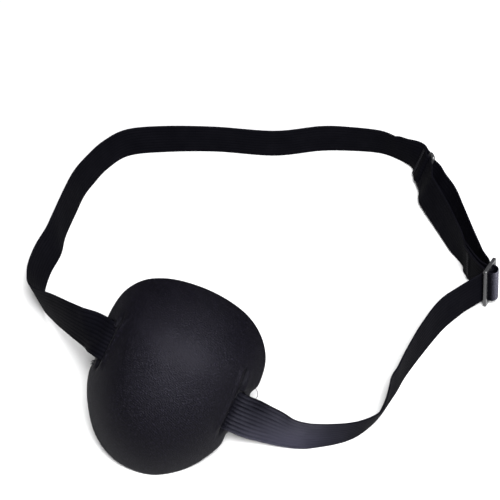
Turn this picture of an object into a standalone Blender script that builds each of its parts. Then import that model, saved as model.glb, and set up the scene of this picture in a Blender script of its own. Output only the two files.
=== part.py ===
"""Eye patch on an adjustable elastic head band, standing on its band edges.

A moulded three-layer cup (outer cloth, foam, lining) has two slits. The back band
is sewn into the left one and runs round the back of the loop to a ring. The
adjuster strap is sewn into the right one, weaves through a three-bar slider, turns
round the ring and comes back to be sewn round the slider's middle bar.

Metres, +Z up, origin under the middle of the whole object, at the table.
"""
import math

import bmesh
import bpy
from mathutils import Euler, Matrix, Vector

MM = 0.001

# Elastic band
BAND_WIDTH = 20.0 * MM
BAND_THICK = 0.9 * MM
FIT_GAP = 0.3 * MM              # clearance between pieces that touch
SLIT_GAP = 0.35 * MM            # clearance round a strap end in its slit
CHORD_GAP = 0.1 * MM            # what flat faces take from a gap over the curved cup
LEAD_IN = 1.2 * MM              # straight start where two lengths of band meet
EDGE_LIFT = 0.04 * MM           # keeps the mitred corners of the band off the table
RUN_STEPS = 3                   # ribbon sections between two stations of a route
ARC_STEP = math.radians(30.0)

# Cup of the patch: outline as (half width side u, height v), mm, counter-clockwise from the right
CUP_OUTLINE = (
    (38.0, 0.0), (38.5, 12.0), (36.5, 22.5), (31.0, 30.5), (23.0, 36.2), (13.0, 39.3), (0.0, 40.2),
    (-13.0, 38.7), (-23.0, 35.6), (-31.0, 30.5), (-36.3, 22.5), (-38.0, 12.5), (-37.3, 0.0),
    (-35.5, -11.0), (-34.0, -19.5), (-31.0, -27.0), (-26.5, -34.0), (-20.5, -41.0), (-13.0, -46.2),
    (-4.0, -49.2), (5.5, -49.3), (14.0, -47.0), (21.7, -41.7), (28.0, -35.0), (32.5, -27.5),
    (35.7, -19.5), (37.3, -10.0),
)
CUP_DEPTH = 20.0 * MM
CUP_ROUNDNESS = 2.5             # exponent of the dome's profile
CUP_MIDDLE = Vector((0.0, -4.0 * MM))
CUP_RINGS = (0.16, 0.32, 0.48, 0.62, 0.74, 0.84, 0.92, 0.97, 1.0)
CUP_SIDE_FACTOR = 1.2           # how much further a layer steps in at the steep side
COVER_LAYER = (0.0, 0.8 * MM)   # depth below the cup's outer surface
FOAM_LAYER = (1.1 * MM, 4.1 * MM)
LINING_LAYER = (4.4 * MM, 5.0 * MM)
CUP_POSITION = Vector((-42.3, -75.7, 31.1)) * MM
CUP_TILT = math.radians(40.0)   # the cup leans back from lying flat
CUP_ROLL = math.radians(-26.5)  # and is turned clockwise in its own plane

# Where each strap enters the cup: height of its middle on the cup, side (+1 or -1)
LEFT_SLIT = (-1.2 * MM, -1)
RIGHT_SLIT = (-4.5 * MM, 1)
SEAM_WIDTH = 18.6 * MM          # the band is gathered a little where it is sewn into the cup
SLIT_RING = 0.87                # share of the way from the cup's middle to its rim
# The strap end's rise through the slit: share of the way to the rim, lift off the cup's surface
STRAP_ROOT_LIFTS = ((0.842, -3.1 * MM), (0.852, -1.9 * MM), (0.866, -0.7 * MM), (0.888, 0.35 * MM),
                    (0.925, 1.1 * MM), (0.97, 1.2 * MM), (1.03, 1.15 * MM))
SLIT_SECTIONS = 5               # how many of those sections pass through the cup's layers
SEAM_STITCHES = 9
SEAM_HALF_LENGTH = 13.5 * MM
SEAM_THREAD_RADIUS = 0.25 * MM
SEAM_THREAD_RISE = 0.25 * MM    # how far a stitch stands up between two dips
SEAM_RING = SLIT_RING - 0.045   # the stitches run just inside the slit

# Ring: a rectangle of round plastic bar, turning about its back bar
RING_POSITION = Vector((91.2, 83.4, 12.2)) * MM
RING_HEADING = math.radians(-76.0)
RING_LEAN = math.radians(-16.0)
RING_BAR_RADIUS = 0.9 * MM
RING_SPAN = 4.8 * MM            # back bar to front bar
RING_HALF_HEIGHT = 11.4 * MM    # to the middle of the short sides
RING_CORNER = 1.6 * MM

# Slider: three bars across a flat frame
SLIDER_POSITION = Vector((116.1, -4.6, 13.0)) * MM
SLIDER_HEADING = math.radians(58.0)
SLIDER_LEAN = math.radians(-8.0)
SLIDER_BAR = 1.8 * MM
SLIDER_PITCH = 5.0 * MM         # middle bar to end bar
SLIDER_END_BAR = 2.4 * MM       # the end bars are wider, outwards
SLIDER_OPENING = 21.0 * MM      # inside length of the slots
SLIDER_RIM = 1.9 * MM
SLIDER_CORNER = 1.5 * MM
SLIDER_ROUNDING = 0.6 * MM

# The band at the ring and slider
TURN_RADIUS = RING_BAR_RADIUS + FIT_GAP + BAND_THICK / 2
LAYER_PITCH = BAND_THICK + 0.35 * MM      # two layers sewn together
TAIL_LENGTH = 7.0 * MM                    # band end folded back behind the ring
WEAVE_X = 2.95 * MM                       # where the strap passes the slots
NEAR_BAR_PATH = ((-7.5 * MM, 3.1 * MM), (-5.6 * MM, 2.3 * MM))
FAR_BAR_PATH = ((8.6 * MM, 6.2 * MM), (5.6 * MM, 2.9 * MM))

# Bar tacks: zigzags of thread across the band, in the ring's and the slider's own axes
TACK_HALF = 0.9 * MM                      # half length of the zigzag
TACK_RADIUS = 0.22 * MM
TACK_ZIGS = 12
TACK_MARGIN = 1.2 * MM                    # from the tack's ends to the band's edges
BAND_END_TACK = (-TAIL_LENGTH + 1.7 * MM, -(LAYER_PITCH / 2 + BAND_THICK / 2 + FIT_GAP + TACK_RADIUS), 0.0)
STRAP_TAIL_TACK = (6.6 * MM, 15.4 * MM, math.radians(50.0))

# Routes along the lower edge: x, y, height above the table (mm), outward lean (degrees)
BACK_ROUTE = (
    (-85.2, -60.9, 29.0, -16), (-95.2, -45.9, 21.0, -4), (-105.0, -28.9, 10.5, 9), (-112.6, -14.2, 3, 15),
    (-114.3, -1.3, 0, 20), (-112.8, 12.9, 0, 20), (-108.8, 26.9, 0, 19), (-107.8, 40.9, 0, 12),
    (-103.8, 59.9, 0, 12), (-100.8, 72.9, 0, 10), (-96.1, 83.9, 0, 8), (-89.2, 96.4, 0, 5),
    (-77.8, 107.5, 0, 1), (-56.8, 110.9, 0, 0), (-26.8, 111.3, 0, -3), (7.2, 107.7, 0, -3),
    (34.2, 111.9, 0, -3), (52.2, 112.0, 0, -6), (69.2, 110.0, 0, -9), (79.2, 104.8, 0, -11),
    (85.2, 98.7, 1, -6),
)
FRONT_ROUTE = (
    (-2.7, -97.8, 5.0, -20), (7.6, -98.2, 1.6, -7), (19.2, -98.2, 0, 0), (33.2, -95.6, 0, 8),
    (42.2, -91.9, 0, 14), (49.3, -86.1, 0, 18), (54.8, -79.9, 0, 9), (60.2, -71.6, 0, -1),
    (64.2, -65.1, 0, -2), (69.6, -55.4, 0, -4), (80.2, -40.1, 0, -10),
)
FRONT_END_ROUTE = ((80.2, -40.1, 0, -10), (91.7, -25.1, 0, -13), (102.2, -15.4, 1, -9))
INNER_ROUTE = ((88.3, 63.8, 2, 17), (91.0, 56.1, 1.9, 16), (96.0, 43.3, 1.4, 12), (101.2, 29.2, 1.0, 6))
OUTER_ROUTE = ((95.5, 66.0, 2, 18), (99.8, 56.0, 2, 16), (103.2, 43.8, 2, 12), (108.2, 25.8, 2, 6),
               (114.7, 10.8, 2, -5))

MATERIALS = {
    "cover_cloth": ((0.014, 0.014, 0.018, 1.0), 0.72, 0.0),
    "foam": ((0.03, 0.03, 0.032, 1.0), 0.9, 0.0),
    "lining_cloth": ((0.02, 0.02, 0.022, 1.0), 0.85, 0.0),
    "elastic": ((0.016, 0.016, 0.019, 1.0), 0.65, 0.0),
    "thread": ((0.03, 0.03, 0.034, 1.0), 0.6, 0.0),
    "gloss_black": ((0.012, 0.012, 0.013, 1.0), 0.18, 0.0),
}


# ---------------------------------------------------------------- scene helpers

def clear_scene():
    for obj in list(bpy.data.objects):
        bpy.data.objects.remove(obj, do_unlink=True)


def make_material(name):
    colour, roughness, metallic = MATERIALS[name]
    material = bpy.data.materials.new(name)
    material.use_nodes = True
    shader = material.node_tree.nodes["Principled BSDF"]
    shader.inputs["Base Color"].default_value = colour
    shader.inputs["Roughness"].default_value = roughness
    shader.inputs["Metallic"].default_value = metallic
    return material


def make_empty(name, location, rotation, parent=None):
    empty = bpy.data.objects.new(name, None)
    bpy.context.collection.objects.link(empty)
    empty.location = location
    empty.rotation_euler = rotation
    empty.parent = parent
    return empty


def make_object(name, mesh_builder, material, parent=None, origin=None):
    """Turn a bmesh in local coordinates into a named object with outward faces."""
    bmesh.ops.recalc_face_normals(mesh_builder, faces=mesh_builder.faces)
    mesh = bpy.data.meshes.new(name)
    if origin is not None:
        bmesh.ops.translate(mesh_builder, verts=mesh_builder.verts, vec=-origin)
    mesh_builder.to_mesh(mesh)
    mesh_builder.free()
    mesh.shade_smooth()
    mesh.set_sharp_from_angle(angle=math.radians(40.0))
    mesh.materials.append(material)
    obj = bpy.data.objects.new(name, mesh)
    bpy.context.collection.objects.link(obj)
    obj.parent = parent
    if origin is not None:
        obj.location = origin
    return obj


def cut(target, cutter):
    modifier = target.modifiers.new("cut_" + cutter.name, "BOOLEAN")
    modifier.operation = "DIFFERENCE"
    modifier.solver = "EXACT"
    modifier.object = cutter
    cutter.hide_render = True
    cutter.display_type = "WIRE"


# ---------------------------------------------------------------- curves

def spline(points, steps):
    """Catmull-Rom curve through vectors of any length, the end points included."""
    ends = [points[0] * 2 - points[1]] + list(points) + [points[-1] * 2 - points[-2]]
    curve = []
    for i in range(1, len(ends) - 2):
        a, b, c, d = ends[i - 1:i + 3]
        for k in range(steps):
            t = k / steps
            curve.append((b * 2 + (c - a) * t + (a * 2 - b * 5 + c * 4 - d) * t ** 2
                          + (b * 3 - a - c * 3 + d) * t ** 3) * 0.5)
    curve.append(points[-1].copy())
    return curve


def closed_spline(points, steps):
    """The same curve, run once round a closed ring of points."""
    wrapped = [points[-1]] + list(points) + [points[0], points[1]]
    curve = spline(wrapped, steps)
    return curve[steps:steps * (len(points) + 1)]


def arc(radius, start, end, centre=(0.0, 0.0)):
    """Points of an arc in the plane across the bars; angles in degrees."""
    start, end = math.radians(start), math.radians(end)
    count = max(2, round(abs(end - start) / ARC_STEP))
    angles = [start + (end - start) * k / count for k in range(count + 1)]
    return [(centre[0] + radius * math.cos(a), centre[1] + radius * math.sin(a)) for a in angles]


# ---------------------------------------------------------------- ribbons and tubes

class Section:
    """One place along a ribbon: its middle, the direction of its width, and the width."""

    def __init__(self, middle, across, width=BAND_WIDTH):
        self.middle = middle
        self.across = across.normalized()
        self.width = width


def route_sections(route, outer_side, steps=RUN_STEPS):
    """Sections of a band that stands on its lower edge; outer_side +1 is right of travel."""
    stations = [Vector((x * MM, y * MM, z * MM, math.radians(lean))) for x, y, z, lean in route]
    curve = spline(stations, steps)
    sections = []
    for i, point in enumerate(curve):
        before, after = curve[max(i - 1, 0)], curve[min(i + 1, len(curve) - 1)]
        along = (after - before).to_3d().normalized()
        outward = Vector((along.y, -along.x, 0.0)).normalized() * outer_side
        upright = outward.cross(along) * outer_side
        across = upright * math.cos(point.w) + outward * math.sin(point.w)
        corner_drop = BAND_THICK / 2 * abs(math.sin(point.w))
        edge = Vector((point.x, point.y, max(point.z, 0.0) + corner_drop + EDGE_LIFT))
        sections.append(Section(edge + across * BAND_WIDTH / 2, across))
    return sections


def hardware_sections(frame, path):
    """Sections of a band bent round a bar: path is (x, y) in the hardware's own frame."""
    across = frame.to_3x3() @ Vector((0.0, 0.0, 1.0))
    return [Section(frame @ Vector((x, y, 0.0)), across) for x, y in path]


def ribbon(sections, thick=BAND_THICK):
    """A flat band of rectangular section, closed at both ends."""
    bm = bmesh.new()
    rings = []
    for i, section in enumerate(sections):
        before, after = sections[max(i - 1, 0)], sections[min(i + 1, len(sections) - 1)]
        along = (after.middle - before.middle).normalized()
        normal = along.cross(section.across).normalized()
        across = normal.cross(along).normalized()
        corners = ((1, 1), (1, -1), (-1, -1), (-1, 1))
        half_across = across * section.width / 2
        rings.append([bm.verts.new(section.middle + half_across * a + normal * (n * thick / 2))
                      for a, n in corners])
    for ring, following in zip(rings, rings[1:]):
        for k in range(4):
            bm.faces.new((ring[k], ring[(k + 1) % 4], following[(k + 1) % 4], following[k]))
    bm.faces.new(rings[0])
    bm.faces.new(rings[-1])
    return bm


def tube(points, radius, sides=8, closed=False):
    """A round bar or thread swept along a list of points."""
    bm = bmesh.new()
    rings = []
    normal = None
    count = len(points)
    for i, point in enumerate(points):
        before = points[i - 1] if closed or i else points[0]
        after = points[(i + 1) % count] if closed or i < count - 1 else points[-1]
        along = (after - before).normalized()
        if normal is None:
            normal = along.orthogonal().normalized()
        normal = (normal - along * normal.dot(along)).normalized()
        side = along.cross(normal)
        angles = [2 * math.pi * k / sides for k in range(sides)]
        rings.append([bm.verts.new(point + (normal * math.cos(a) + side * math.sin(a)) * radius)
                      for a in angles])
    pairs = list(zip(rings, rings[1:] + rings[:1])) if closed else list(zip(rings, rings[1:]))
    for ring, following in pairs:
        for k in range(sides):
            bm.faces.new((ring[k], ring[(k + 1) % sides], following[(k + 1) % sides], following[k]))
    if not closed:
        bm.faces.new(rings[0])
        bm.faces.new(rings[-1])
    return bm


# ---------------------------------------------------------------- the cup

def cup_outline():
    return closed_spline([Vector((u, v, 0.0)) * MM for u, v in CUP_OUTLINE], 2)


def cup_point(rim_point, ring, depth):
    """A point of the dome at a share of the way to the rim, a depth below the outside."""
    middle = CUP_MIDDLE.to_3d()
    spoke = rim_point - middle
    inset = 1.0 - depth * CUP_SIDE_FACTOR / spoke.length
    height = (CUP_DEPTH - depth) * (1.0 - ring ** CUP_ROUNDNESS)
    return middle + spoke * inset * ring + Vector((0.0, 0.0, height))


def cup_layer(name, layer, material, parent):
    """One layer of the moulded cup: two domes joined round the rim."""
    outline = cup_outline()
    count = len(outline)
    bm = bmesh.new()
    skins = []
    for depth in layer:
        apex = bm.verts.new(cup_point(outline[0], 0.0, depth))
        rings = [[bm.verts.new(cup_point(p, ring, depth)) for p in outline] for ring in CUP_RINGS]
        skins.append(rings)
        for k in range(count):
            bm.faces.new((apex, rings[0][k], rings[0][(k + 1) % count]))
        for ring, following in zip(rings, rings[1:]):
            for k in range(count):
                n = (k + 1) % count
                bm.faces.new((ring[k], ring[n], following[n], following[k]))
    outer_rim, inner_rim = skins[0][-1], skins[1][-1]
    for k in range(count):
        n = (k + 1) % count
        bm.faces.new((outer_rim[k], outer_rim[n], inner_rim[n], inner_rim[k]))
    return make_object(name, bm, material, parent)


def cup_side_point(side, height, ring, lift):
    """A point over the cup's side: ring measures outwards, lift stands off the surface."""
    rim = side_rim_point(side, height)
    here = cup_point(rim, ring, 0.0)
    ahead = cup_point(rim, ring + 0.01, 0.0)
    slope = (ahead - here).normalized()
    away = Vector((-slope.z, 0.0, slope.x)) * (1 if slope.x > 0 else -1)
    return here + away * lift


def side_rim_point(side, height):
    """Where the cup's outline crosses a height, on the left (-1) or right (+1)."""
    outline = [p for p in cup_outline() if p.x * side > 0]
    outline.sort(key=lambda p: abs(p.y - height))
    a, b = outline[0], outline[1]
    share = (height - a.y) / (b.y - a.y)
    return a.lerp(b, share)


def strap_root(slit, frame, lifts):
    """Sections of a strap end: from inside the foam, up through the slit, over the rim."""
    height, side = slit
    across = frame.to_3x3() @ Vector((0.0, 1.0, 0.0))
    points = [cup_side_point(side, height, ring, lift) for ring, lift in lifts]
    return [Section(frame @ p, across, SEAM_WIDTH) for p in points]


def slit_cutter(name, slit, frame):
    """The room a strap end takes in the cup's layers, in the cup's own frame."""
    sections = strap_root(slit, Matrix(), STRAP_ROOT_LIFTS[:SLIT_SECTIONS])
    first, second = sections[0].middle, sections[1].middle
    deeper = first + (first - second).normalized() * SLIT_GAP
    sections[0] = Section(deeper, sections[0].across)
    for section in sections:
        section.width = SEAM_WIDTH + 2 * SLIT_GAP
    bm = ribbon(sections, BAND_THICK + 2 * SLIT_GAP)
    return make_object(name, bm, bpy.data.materials["foam"], frame)


def seam_thread(name, slit, parent, material):
    """Running stitches beside a slit: one thread that rises and dips along the cloth."""
    height, side = slit
    lowest = SEAM_THREAD_RADIUS + FIT_GAP + CHORD_GAP
    count = SEAM_STITCHES * 4
    points = []
    for k in range(count + 1):
        wave = 0.5 + 0.5 * math.cos(2 * math.pi * SEAM_STITCHES * k / count)
        v = height - SEAM_HALF_LENGTH + 2 * SEAM_HALF_LENGTH * k / count
        points.append(cup_side_point(side, v, SEAM_RING, lowest + SEAM_THREAD_RISE * wave))
    return make_object(name, tube(points, SEAM_THREAD_RADIUS, sides=6), material, parent)


# ---------------------------------------------------------------- ring and slider

def rounded_rectangle(half_x, half_y, corner, centre_x=0.0):
    """Corner arcs of a rectangle in the (x, z) plane, as one closed loop of points."""
    loop = []
    for sign_x, sign_z, start in ((1, 1, 0), (-1, 1, 90), (-1, -1, 180), (1, -1, 270)):
        centre = (centre_x + sign_x * (half_x - corner), sign_z * (half_y - corner))
        loop += [Vector((x, 0.0, z)) for x, z in arc(corner, start, start + 90, centre)]
    return loop


def build_ring(parent, material):
    path = rounded_rectangle(RING_SPAN / 2, RING_HALF_HEIGHT, RING_CORNER, RING_SPAN / 2)
    return make_object("strap_ring", tube(path, RING_BAR_RADIUS, sides=10, closed=True), material, parent)


def slab(bm, x_low, x_high, half_z, thick):
    """A box from x_low to x_high, standing half_z both ways."""
    size = Matrix.Diagonal((x_high - x_low, thick, 2 * half_z, 1.0))
    place = Matrix.Translation(((x_low + x_high) / 2, 0.0, 0.0))
    bmesh.ops.create_cube(bm, size=1.0, matrix=place @ size)


def build_slider(parent, material):
    """A flat frame with two slots beside its middle bar, its edges rounded over."""
    half_x = SLIDER_PITCH - SLIDER_BAR / 2 + SLIDER_END_BAR
    half_z = SLIDER_OPENING / 2 + SLIDER_RIM
    body = bmesh.new()
    slab(body, -half_x, half_x, half_z, SLIDER_BAR)
    upright = [e for e in body.edges if abs(e.verts[0].co.y - e.verts[1].co.y) > SLIDER_BAR / 2]
    bmesh.ops.bevel(body, geom=upright, offset=SLIDER_CORNER, segments=4, affect="EDGES", profile=0.5)
    slider = make_object("slider_frame", body, material, parent)
    slot_half = (SLIDER_PITCH - SLIDER_BAR) / 2
    for number, centre in enumerate((-SLIDER_PITCH / 2, SLIDER_PITCH / 2)):
        hole = bmesh.new()
        slab(hole, centre - slot_half, centre + slot_half, SLIDER_OPENING / 2, 3 * SLIDER_BAR)
        cut(slider, make_object("slot_cutter_%d" % number, hole, material, parent))
    bevel = slider.modifiers.new("rounded_bars", "BEVEL")
    bevel.width = SLIDER_ROUNDING
    bevel.segments = 3
    bevel.limit_method = "ANGLE"
    bevel.angle_limit = math.radians(40.0)
    return slider


# ---------------------------------------------------------------- strap paths at the hardware

def back_fold_path():
    """The band's end: along, round the ring's back bar and back on the inner side."""
    half = LAYER_PITCH / 2
    leave = TURN_RADIUS * 0.95
    path = [(-TAIL_LENGTH, half), (-5.0 * MM, half), (-3.2 * MM, 1.0 * MM), (-1.6 * MM, leave)]
    path += arc(TURN_RADIUS, 90, -90)
    path += [(-1.6 * MM, -leave), (-3.2 * MM, -1.0 * MM), (-5.0 * MM, -half), (-TAIL_LENGTH, -half)]
    return path


def ring_turn_path():
    """The adjuster strap's turn round the ring's front bar, outer run to inner run."""
    front = RING_SPAN
    path = [(front + 2.6 * MM, 2.7 * MM), (front + 1.3 * MM, 2.2 * MM)]
    path += arc(TURN_RADIUS, 75, 285, (front, 0.0))
    path += [(front + 1.6 * MM, -1.75 * MM), (front + 3.0 * MM, -1.95 * MM)]
    return path


def weave_path():
    """Up through the near slot, loosely over the middle bar, down through the far slot."""
    rise = [(-3.75 * MM, 1.8 * MM), (-3.15 * MM, 0.75 * MM), (-WEAVE_X, -0.8 * MM), (-WEAVE_X, -2.0 * MM)]
    crown = [(-2.3 * MM, -3.4 * MM), (-1.0 * MM, -4.15 * MM), (0.4 * MM, -4.2 * MM), (1.9 * MM, -3.6 * MM)]
    fall = [(WEAVE_X, -2.2 * MM), (3.0 * MM, -0.8 * MM), (3.05 * MM, 0.35 * MM), (3.65 * MM, 1.7 * MM)]
    return rise + crown + fall


def tail_path():
    """The inner run's end: round the middle bar and back along itself, sewn down."""
    arriving = [(14.8, 21.3), (12.0, 18.0), (8.9, 14.3), (5.4, 9.9), (3.2, 6.3), (2.3, 3.6), (1.9, 1.7)]
    returning = [(-1.45, 1.6), (-0.6, 3.4), (1.2, 6.6), (4.1, 10.7), (7.6, 15.1), (11.4, 19.6)]
    path = [(x * MM, y * MM) for x, y in arriving]
    path += arc(TURN_RADIUS, 10, -190)
    path += [(x * MM, y * MM) for x, y in returning]
    return path


def tack_thread(name, place, parent, material):
    """A zigzag bar tack across the band, laid on one face of it."""
    x, y, heading = place
    along = Vector((math.cos(heading), math.sin(heading), 0.0)) * TACK_HALF
    half_height = BAND_WIDTH / 2 - TACK_MARGIN
    points = []
    for k in range(TACK_ZIGS + 1):
        side = along if k % 2 else -along
        height = -half_height + 2 * half_height * k / TACK_ZIGS
        points.append(Vector((x, y, height)) + side)
    return make_object(name, tube(points, TACK_RADIUS, sides=6), material, parent)


# ---------------------------------------------------------------- assembly

def frame_matrix(position, lean, heading):
    return Matrix.Translation(position) @ Euler((lean, 0.0, heading)).to_matrix().to_4x4()


def build_cup(materials):
    tilt = make_empty("cup_tilt", CUP_POSITION, (CUP_TILT, 0.0, 0.0))
    roll = make_empty("cup_roll", (0.0, 0.0, 0.0), (0.0, 0.0, CUP_ROLL), tilt)
    cover = cup_layer("patch_cover", COVER_LAYER, materials["cover_cloth"], roll)
    foam = cup_layer("patch_foam", FOAM_LAYER, materials["foam"], roll)
    cup_layer("patch_lining", LINING_LAYER, materials["lining_cloth"], roll)
    for name, slit in (("left", LEFT_SLIT), ("right", RIGHT_SLIT)):
        cutter = slit_cutter(name + "_slit_cutter", slit, roll)
        cut(cover, cutter)
        cut(foam, cutter)
        seam_thread(name + "_seam_thread", slit, roll, materials["thread"])


def cup_matrix():
    turn = Euler((CUP_TILT, 0.0, 0.0)).to_matrix() @ Euler((0.0, 0.0, CUP_ROLL)).to_matrix()
    return Matrix.Translation(CUP_POSITION) @ turn.to_4x4()


def past_end(sections):
    """Two sections that carry a ribbon straight on, a gap after the end of another."""
    last = sections[-1]
    along = (last.middle - sections[-2].middle).normalized()
    return [Section(last.middle + along * step, last.across) for step in (FIT_GAP, FIT_GAP + LEAD_IN)]


def ahead_of(sections):
    """Two sections that lead a ribbon straight up to a gap before the start of another."""
    first = sections[0]
    along = (sections[1].middle - first.middle).normalized()
    return [Section(first.middle - along * step, first.across) for step in (FIT_GAP + LEAD_IN, FIT_GAP)]


def build_straps(materials):
    elastic = materials["elastic"]
    cup = cup_matrix()
    ring_frame = frame_matrix(RING_POSITION, RING_LEAN, RING_HEADING)
    slider_frame = frame_matrix(SLIDER_POSITION, SLIDER_LEAN, SLIDER_HEADING)
    ring_turn = hardware_sections(ring_frame, ring_turn_path())
    weave = hardware_sections(slider_frame, weave_path())
    tail = hardware_sections(slider_frame, tail_path())

    back = (strap_root(LEFT_SLIT, cup, STRAP_ROOT_LIFTS) + route_sections(BACK_ROUTE, -1)
            + hardware_sections(ring_frame, back_fold_path()))
    front = strap_root(RIGHT_SLIT, cup, STRAP_ROOT_LIFTS) + route_sections(FRONT_ROUTE, 1)
    near_bar = hardware_sections(slider_frame, NEAR_BAR_PATH)
    front_end = past_end(front) + route_sections(FRONT_END_ROUTE, 1)[1:] + near_bar + ahead_of(weave)
    far_bar = hardware_sections(slider_frame, FAR_BAR_PATH)
    outer = ahead_of(ring_turn)[::-1] + route_sections(OUTER_ROUTE, -1) + far_bar + past_end(weave)[::-1]
    inner = past_end(ring_turn) + route_sections(INNER_ROUTE, -1) + ahead_of(tail)

    make_object("back_band", ribbon(back), elastic)
    make_object("front_strap", ribbon(front), elastic)
    make_object("front_strap_end", ribbon(front_end), elastic)
    make_object("adjuster_outer_run", ribbon(outer), elastic)
    make_object("adjuster_inner_run", ribbon(inner), elastic)
    make_object("ring_strap_turn", ribbon(ring_turn), elastic, origin=RING_POSITION)
    make_object("slider_strap_weave", ribbon(weave), elastic, origin=SLIDER_POSITION)
    make_object("sewn_strap_tail", ribbon(tail), elastic, origin=SLIDER_POSITION)


def build_hardware(materials):
    ring_pivot = make_empty("ring_pivot", RING_POSITION, (RING_LEAN, 0.0, RING_HEADING))
    slider_pivot = make_empty("slider_pivot", SLIDER_POSITION, (SLIDER_LEAN, 0.0, SLIDER_HEADING))
    build_ring(ring_pivot, materials["gloss_black"])
    build_slider(slider_pivot, materials["gloss_black"])
    tack_thread("band_end_tack", BAND_END_TACK, ring_pivot, materials["thread"])
    tack_thread("strap_tail_tack", STRAP_TAIL_TACK, slider_pivot, materials["thread"])


def main():
    clear_scene()
    materials = {name: make_material(name) for name in MATERIALS}
    build_cup(materials)
    build_straps(materials)
    build_hardware(materials)


main()
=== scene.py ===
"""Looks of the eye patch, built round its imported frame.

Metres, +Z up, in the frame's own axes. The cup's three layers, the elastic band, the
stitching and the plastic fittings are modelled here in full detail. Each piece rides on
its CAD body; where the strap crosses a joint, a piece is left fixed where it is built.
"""
import math
import random

import bmesh
import bpy
import numpy as np
from mathutils import Euler, Matrix, Vector


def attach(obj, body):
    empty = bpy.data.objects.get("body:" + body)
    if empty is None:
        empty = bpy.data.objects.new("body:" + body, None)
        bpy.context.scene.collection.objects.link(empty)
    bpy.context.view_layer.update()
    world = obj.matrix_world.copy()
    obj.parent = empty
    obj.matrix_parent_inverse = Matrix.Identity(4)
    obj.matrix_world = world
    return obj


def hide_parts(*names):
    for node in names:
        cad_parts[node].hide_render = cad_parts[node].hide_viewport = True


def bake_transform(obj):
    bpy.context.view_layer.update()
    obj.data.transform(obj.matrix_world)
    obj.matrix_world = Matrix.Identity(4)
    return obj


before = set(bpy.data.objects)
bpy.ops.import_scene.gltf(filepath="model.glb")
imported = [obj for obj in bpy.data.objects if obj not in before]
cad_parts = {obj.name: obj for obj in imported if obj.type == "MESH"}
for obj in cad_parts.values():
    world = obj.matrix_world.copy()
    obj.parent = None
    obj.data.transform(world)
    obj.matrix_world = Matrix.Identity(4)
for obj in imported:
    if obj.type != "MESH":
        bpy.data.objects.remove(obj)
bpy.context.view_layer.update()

MM = 0.001

# ---------------------------------------------------------------- camera

CAMERA_TARGET = Vector((-6.85, 30.85, 0.0)) * MM
CAMERA_DISTANCE = 650.0 * MM
CAMERA_ELEVATION = math.radians(46.0)
CAMERA_LENS = 86.4              # mm
CAMERA_SENSOR = 36.0            # mm


def make_camera():
    data = bpy.data.cameras.new("camera")
    data.lens = CAMERA_LENS
    data.sensor_width = CAMERA_SENSOR
    camera = bpy.data.objects.new("camera", data)
    bpy.context.scene.collection.objects.link(camera)
    back = Vector((0.0, -math.cos(CAMERA_ELEVATION), math.sin(CAMERA_ELEVATION)))
    camera.location = CAMERA_TARGET + back * CAMERA_DISTANCE
    camera.rotation_euler = (math.pi / 2 - CAMERA_ELEVATION, 0.0, 0.0)
    bpy.context.scene.camera = camera


make_camera()

# ---------------------------------------------------------------- sizes, as in the CAD source

BAND_WIDTH = 20.0 * MM
BAND_THICK = 0.9 * MM
FIT_GAP = 0.3 * MM
SLIT_GAP = 0.35 * MM
EDGE_LIFT = 0.04 * MM
ROUTE_STEPS = 6                 # smooth points between two stations of a route

CUP_OUTLINE = (
    (38.0, 0.0), (38.5, 12.0), (36.5, 22.5), (31.0, 30.5), (23.0, 36.2), (13.0, 39.3), (0.0, 40.2),
    (-13.0, 38.7), (-23.0, 35.6), (-31.0, 30.5), (-36.3, 22.5), (-38.0, 12.5), (-37.3, 0.0),
    (-35.5, -11.0), (-34.0, -19.5), (-31.0, -27.0), (-26.5, -34.0), (-20.5, -41.0), (-13.0, -46.2),
    (-4.0, -49.2), (5.5, -49.3), (14.0, -47.0), (21.7, -41.7), (28.0, -35.0), (32.5, -27.5),
    (35.7, -19.5), (37.3, -10.0),
)
CUP_DEPTH = 20.0 * MM
CUP_ROUNDNESS = 2.5
CUP_MIDDLE = Vector((0.0, -4.0 * MM, 0.0))
CUP_SIDE_FACTOR = 1.2
COVER_LAYER = (0.0, 0.8 * MM)   # depth below the cup's outer surface
FOAM_LAYER = (1.05 * MM, 4.15 * MM)
LINING_LAYER = (4.4 * MM, 5.0 * MM)
CUP_POSITION = Vector((-42.3, -75.7, 31.1)) * MM
CUP_TILT = math.radians(40.0)
CUP_ROLL = math.radians(-26.5)

LEFT_SLIT = (-1.2 * MM, -1)     # height on the cup, side
RIGHT_SLIT = (-4.5 * MM, 1)
SEAM_WIDTH = 18.6 * MM
SLIT_RING = 0.87
STRAP_ROOT_LIFTS = ((0.842, -3.1 * MM), (0.852, -1.9 * MM), (0.866, -0.7 * MM), (0.888, 0.35 * MM),
                    (0.925, 1.1 * MM), (0.97, 1.2 * MM), (1.03, 1.15 * MM))
SLIT_SECTIONS = 5

RING_POSITION = Vector((91.2, 83.4, 12.2)) * MM
RING_HEADING = math.radians(-76.0)
RING_LEAN = math.radians(-16.0)
RING_BAR_RADIUS = 0.9 * MM
RING_SPAN = 4.8 * MM
RING_HALF_HEIGHT = 11.4 * MM
RING_CORNER = 1.6 * MM

SLIDER_POSITION = Vector((116.1, -4.6, 13.0)) * MM
SLIDER_HEADING = math.radians(58.0)
SLIDER_LEAN = math.radians(-8.0)
SLIDER_BAR = 1.8 * MM
SLIDER_PITCH = 5.0 * MM
SLIDER_END_BAR = 2.4 * MM
SLIDER_OPENING = 21.0 * MM
SLIDER_RIM = 1.9 * MM
SLIDER_CORNER = 1.5 * MM
SLIDER_ROUNDING = 0.62 * MM

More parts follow.
